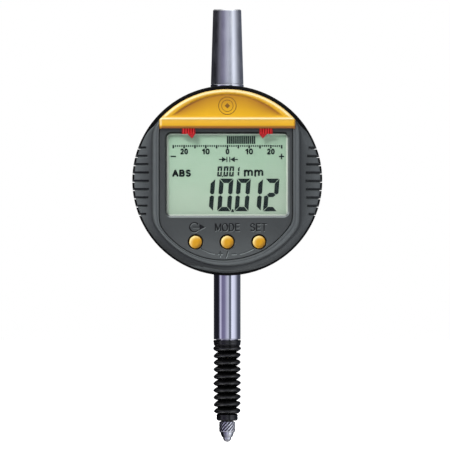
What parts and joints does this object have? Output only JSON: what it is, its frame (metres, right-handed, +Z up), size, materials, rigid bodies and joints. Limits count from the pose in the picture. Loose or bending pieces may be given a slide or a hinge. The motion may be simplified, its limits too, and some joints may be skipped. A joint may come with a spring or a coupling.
{
  "type": "digital dial indicator",
  "caption": "Round digital dial indicator on an 8 mm stem: swivelling display head with keys and sliding limit markers, spring-loaded spindle in a rubber bellows, knurled ball contact point.",
  "frame": {"origin": "lowest point of the contact ball on the spindle axis, with the spindle at its lower stop", "axes": "+Z up along the spindle towards the cap, -Y out of the display towards the reader, +X to the reader's right"},
  "size_m": [0.0566, 0.027, 0.1289],
  "materials": {
    "case_black": "black satin paint, fine texture",
    "cover_black": "black moulded plastic, fine texture",
    "rubber_seal": "black rubber",
    "door_black": "black moulded plastic",
    "holder_black": "black moulded plastic",
    "battery_steel": "nickel-plated steel can",
    "contact_nickel": "nickel-plated spring strip",
    "stem_chrome": "ground and polished steel",
    "bronze": "sintered bronze",
    "rubber_bumper": "black rubber",
    "cap_satin": "satin turned steel",
    "ring_polished": "polished steel",
    "bellows_rubber": "black moulded rubber, slightly uneven folds",
    "rail_steel": "stamped steel",
    "pin_steel": "plated steel pin",
    "spring_wire": "spring steel wire",
    "board_green": "green solder mask",
    "chip_black": "black moulded package",
    "socket_black": "black moulded plastic",
    "plug_rubber": "black rubber",
    "flex_amber": "amber polyimide film",
    "spindle_steel": "hardened and ground steel",
    "contact_steel": "knurled hardened steel",
    "ball_carbide": "polished carbide",
    "carrier_zinc": "machined light alloy",
    "scale_glass": "etched glass with fine electrodes",
    "screw_steel": "zinc-plated steel",
    "housing_grey": "dark grey satin plastic with a fine grain",
    "cover_yellow": "golden yellow satin-gloss plastic",
    "marker_red": "red plastic, ribbed",
    "window_clear": "clear polished plastic",
    "lcd_green": "reflective liquid-crystal cell, grey-green",
    "zebra_silicone": "layered conductive silicone",
    "keypad_silicone": "grey silicone",
    "button_yellow": "golden yellow domed plastic",
    "base_black": "black glass-filled plastic",
    "ring_spring_steel": "spring steel"
  },
  "bodies": {
    "case": {"rear_case": "case_black", "back_cover": "cover_black", "back_cover_seal": "rubber_seal", "battery_holder": "holder_black", "battery": "battery_steel", "battery_contact_negative": "contact_nickel", "battery_contact_positive": "contact_nickel", "stem": "stem_chrome", "stem_bush_lower": "bronze", "stem_bush_upper": "bronze", "case_top_bush": "bronze", "upper_bumper": "rubber_bumper", "spindle_cap": "cap_satin", "spindle_cap_ring": "ring_polished", "bellows": "bellows_rubber", "guide_rail": "rail_steel", "spring_post": "pin_steel", "return_spring": "spring_wire", "sensor_board": "board_green", "sensor_chip": "chip_black", "data_socket": "socket_black", "port_plug": "plug_rubber", "head_seal": "rubber_seal", "flex_cable": "flex_amber", "cover_screw_1": "screw_steel", "cover_screw_2": "screw_steel", "cover_screw_3": "screw_steel", "cover_screw_4": "screw_steel", "sensor_screw_1": "screw_steel", "sensor_screw_2": "screw_steel"},
    "spindle_group": {"spindle": "spindle_steel", "contact_point": "contact_steel", "contact_ball": "ball_carbide", "stop_collar": "bronze", "scale_carrier": "carrier_zinc", "glass_scale": "scale_glass", "guide_pin": "pin_steel", "carrier_screw": "screw_steel"},
    "display_head": {"display_housing": "housing_grey", "marker_cover": "cover_yellow", "marker_rail": "rail_steel", "window_lens": "window_clear", "lcd_panel": "lcd_green", "zebra_strip_upper": "zebra_silicone", "zebra_strip_lower": "zebra_silicone", "main_board": "board_green", "controller_chip": "chip_black", "keypad_mat": "keypad_silicone", "head_base": "base_black", "retaining_ring": "ring_spring_steel", "head_screw_1": "screw_steel", "head_screw_2": "screw_steel", "head_screw_3": "screw_steel", "head_screw_4": "screw_steel"},
    "low_marker": {"limit_marker_low": "marker_red"},
    "high_marker": {"limit_marker_high": "marker_red"},
    "data_key": {"data_button": "button_yellow"},
    "mode_key": {"mode_button": "button_yellow"},
    "set_key": {"set_button": "button_yellow"},
    "battery_cap": {"battery_door": "door_black"}
  },
  "joints": [
    {"name": "spindle_slide", "type": "slide", "parent": "case", "child": "spindle_group", "axis": [0, 0, 1], "range_m": [0, 0.0125], "stiffness_N_per_m": 15, "springref_m": -0.03, "deforming": ["bellows", "return_spring"]},
    {"name": "head_swivel", "type": "hinge", "parent": "case", "child": "display_head", "pos_m": [0, -0.0066, 0.0779], "axis": [0, 1, 0], "range_deg": [-135, 135]},
    {"name": "limit_marker_low_slide", "type": "slide", "parent": "display_head", "child": "low_marker", "axis": [1, 0, 0], "range_m": [-0.0055, 0.009]},
    {"name": "limit_marker_high_slide", "type": "slide", "parent": "display_head", "child": "high_marker", "axis": [1, 0, 0], "range_m": [-0.009, 0.0055]},
    {"name": "data_key_press", "type": "slide", "parent": "display_head", "child": "data_key", "axis": [0, 1, 0], "range_m": [0, 0.0005]},
    {"name": "mode_key_press", "type": "slide", "parent": "display_head", "child": "mode_key", "axis": [0, 1, 0], "range_m": [0, 0.0005]},
    {"name": "set_key_press", "type": "slide", "parent": "display_head", "child": "set_key", "axis": [0, 1, 0], "range_m": [0, 0.0005]},
    {"name": "battery_door_turn", "type": "hinge", "parent": "case", "child": "battery_cap", "pos_m": [0, 0.0135, 0.0779], "axis": [0, 1, 0], "range_deg": [0, 60]}
  ]
}
